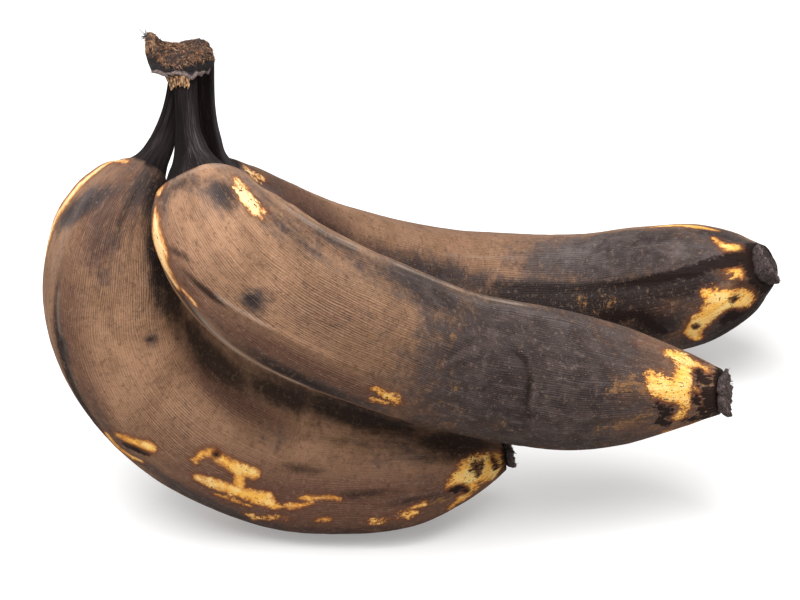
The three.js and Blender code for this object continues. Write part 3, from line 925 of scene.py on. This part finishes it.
def crown(finish):
    random = np.random.RandomState(7)
    heap = Heap()
    block, faces, part = crown_block()
    heap.add(block, faces, part=part, tip=0, tone=0.3)

    def add(points, faces, tips, part):
        tones = random.uniform(0, 1, len(points) // FIBRE_POINTS + 1)
        heap.add(points, faces, part=part, tip=tips, tone=np.repeat(tones, FIBRE_POINTS)[:len(points)])

    # Matted fibres over the cut, combed down over the front edge
    share = np.sqrt(random.uniform(0, 1, MATTED)) * 1.02
    turned = random.uniform(0, 2 * np.pi, MATTED)
    x, y = on_cut(share, turned, 9.5)
    roots = np.stack([x, y, cut_height(x, share) - 0.15], 1)
    combed = np.stack([0.3 * np.cos(turned) * share, -0.7 - 0.2 * x / 8, 0.35 - 0.5 * share ** 2], 1)
    directions = combed + random.normal(size=(MATTED, 3)) * 0.5
    add(*fibres(roots, directions, (0.6, 1.8), (0.05, 0.12), 0.2, random), 0)

    # Short fibres fringing the cut
    turned = random.uniform(0, 2 * np.pi, FRINGING)
    x, y = on_cut(1, turned)
    roots = np.stack([x, y, cut_height(x, 0) - random.uniform(0.9, 1.7, FRINGING)], 1)
    directions = np.stack([np.cos(turned) * 0.5, np.sin(turned) * 0.5, -0.7 * np.ones(FRINGING)], 1)
    directions += random.normal(size=(FRINGING, 3)) * 0.3
    add(*fibres(roots, directions, (0.4, 1.0), (0.05, 0.1), 0.1, random), 0)

    # The wisp at the horn
    roots = HORN + random.normal(size=(WISPS, 3)) * (0.4, 0.6, 0.4)
    directions = np.array([-0.9, -0.1, 0.35]) + random.normal(size=(WISPS, 3)) * (0.3, 0.4, 0.45)
    add(*fibres(roots, directions, (1.2, 2.9), (0.09, 0.16), -0.1, random), 1)

    ribbon, faces = curled_edge()
    # its first rows take the band's painted shade
    add(ribbon, faces, 0, np.where(np.arange(len(ribbon)) < CURL_DARK_ROWS * CURL_ROUND, 1, 2))

    points = np.array(heap.points) + np.array([*CROWN_MIDDLE, CROWN_BASE])
    horn = 0.8 * fade(CROWN_MIDDLE[0] - points[:, 0], 6.5, 9.5)
    horn *= fade(points[:, 2], CROWN_BASE + 5, CROWN_BASE + 9)
    heap.values["tip"] = np.maximum(heap.values["tip"], horn)
    mesh_piece("torn_crown", "crown", points, heap.faces, finish, heap.values)


# ---- the papery collar
COLLAR_TURNS = (158, 275)  # the degrees of the front stem that it wraps
COLLAR_TOP, COLLAR_HEM = 1.6, 7  # millimetres down the stem
COLLAR_ROWS, COLLAR_COLUMNS = 16, 90
COLLAR_FACES = (0.5, 0.25)  # its outer and its inner side's distance from the stem
COLLAR_RISE = 1.3  # how far it may stand above the crown's underside


def collar(finish):
    """The papery wrap that the torn peel leaves round the top of the front stem."""
    centre, radius, along, across, out, _ = spine("front")
    rows, columns = COLLAR_ROWS, COLLAR_COLUMNS
    turns = np.radians(np.linspace(*COLLAR_TURNS, columns))
    spread = fade(turns, *np.radians((150, 210)))
    hem = COLLAR_HEM + 0.6 * np.sin(turns * 3.1 + 0.4) + 0.5 * mottle(turns[:, None] * (14, 0, 0), 1, 44)
    sheet = []
    for thick in COLLAR_FACES:
        for row in range(rows):
            share = row / (rows - 1)
            s = COLLAR_TOP + share * (hem - COLLAR_TOP)
            k = np.clip(np.searchsorted(along, s), 0, len(along) - 1)
            wrinkle = 0.16 * np.sin(turns * 34 + row * 0.2)
            reach = radius[k] + thick + wrinkle + (0.9 + 2.4 * spread) * (1 - share) ** 1.3
            at = np.stack([np.interp(s, along, centre[:, i]) for i in range(3)], 1)
            at[:, 1] = tucked(at[:, 1], "front", s)
            sheet.append(at + spokes(across[k], out[k], turns) * reach[:, None])
    points = np.concatenate(sheet)
    points += 0.12 * shaken(points, 0.9, 41)
    points[:, 2] = np.minimum(points[:, 2], CROWN_BASE + COLLAR_RISE)
    inner = rows * columns
    faces = []
    for row in range(rows - 1):
        for a in range(row * columns, (row + 1) * columns - 1):
            quad = [a, a + 1, a + 1 + columns, a + columns]
            faces += [quad, [corner + inner for corner in quad[::-1]]]
    grid = np.arange(inner).reshape(rows, columns)
    border = [*grid[0], *grid[1:, -1], *grid[-1, -2::-1], *grid[-2:0:-1, 0]]
    for first, second in zip(border, border[1:] + border[:1]):
        faces.append([second, first, first + inner, second + inner])
    flat = np.zeros(len(points))
    values = {"part": flat + 3, "tip": flat, "tone": flat}
    mesh_piece("papery_collar", None, points, faces, finish, values)


# ---- dried blossom ends
# The section: share of the radius, share of the length. It turns in over a hollow.
HUSK = [
    (0.8, 0.0), (0.9, 0.12), (0.97, 0.3), (1.02, 0.5), (1.04, 0.7), (1.03, 0.86), (0.99, 0.97),
    (0.93, 1.0), (0.86, 0.97), (0.8, 0.9), (0.7, 0.85), (0.58, 0.84), (0.45, 0.86), (0.32, 0.9),
    (0.2, 0.94), (0.08, 0.93),
]
HUSK_ROUND, HUSK_FIBRES = 120, 90


def blossom_end(side, centre, axis, across, finish):
    """The dried end on a fruit's last point, with its frayed fibres."""
    radius, length = TIP[side]
    random = np.random.RandomState(len(side) * 11)

    def rays(turn, way):
        side_way = unit(across - way * (across @ way))
        return spokes(side_way, np.cross(side_way, way), turn)

    turn = np.linspace(0, 2 * np.pi, HUSK_ROUND, endpoint=False)
    lobes = 1 + 0.06 * np.cos(5 * turn + 0.4) + 0.05 * np.cos(3 * turn + len(side))
    lobes += 0.03 * np.cos(11 * turn)
    points = []
    for wide, high in HUSK:
        ragged = 1 + (0.1 * np.sin(9 * turn + 1) + 0.08 * np.sin(17 * turn)) * fade(high, 0.5, 1.0)
        leant = unit(axis + np.array(LEAN[side]) * fade(high, 0.1, 0.7))
        reach = radius * wide * lobes
        points.append(centre + axis * (GAP + length * high * ragged)[:, None]
                      + rays(turn, leant) * reach[:, None])
    points = np.concatenate(points)
    tear = 0.34 * mottle(points, 1.1, 51) + 0.36 * mottle(points, 2.4, 52)
    points += unit(points - (centre + axis * length * 0.5)) * tear[:, None]
    edge = np.repeat([fade(high, 0.6, 1.0) for _, high in HUSK], HUSK_ROUND)
    heap = Heap()
    heap.add(points, tube_faces(len(HUSK), HUSK_ROUND), edge=edge)

    ray = rays(random.uniform(0, 2 * np.pi, HUSK_FIBRES), leant)
    rise = GAP + length * random.uniform(0.4, 0.95, HUSK_FIBRES)
    roots = centre + axis * rise[:, None] + ray * radius * 0.96
    directions = axis * random.uniform(0.2, 1, HUSK_FIBRES)[:, None] + ray * 0.25
    directions += random.normal(size=(HUSK_FIBRES, 3)) * 0.5
    more, more_faces, tips = fibres(roots, directions, (0.5, 1.3), (0.08, 0.2), 0.1, random)
    heap.add(more, more_faces, edge=0.5 + 0.5 * np.array(tips))
    mesh_piece(f"dried_end_{side}", f"blossom_tip_{side}", heap.points, heap.faces,
               finish, heap.values)


# ---- the scene
make_camera()
make_light()
peel_skin, crown_skin, husk_skin = peel_finish(), crown_finish(), blossom_finish()
for side in STATIONS:
    blossom_end(side, *fruit(side, peel_skin), husk_skin)
crown(crown_skin)
collar(crown_skin)

floor_mesh = bpy.data.meshes.new("floor")
floor_mesh.from_pydata([(-3, -3, 0), (3, -3, 0), (3, 3, 0), (-3, 3, 0)], [], [(0, 1, 2, 3)])
floor_mesh.materials.append(floor_finish())
floor = bpy.data.objects.new("floor", floor_mesh)
scene.collection.objects.link(floor)
scene.view_settings.view_transform = "Standard"
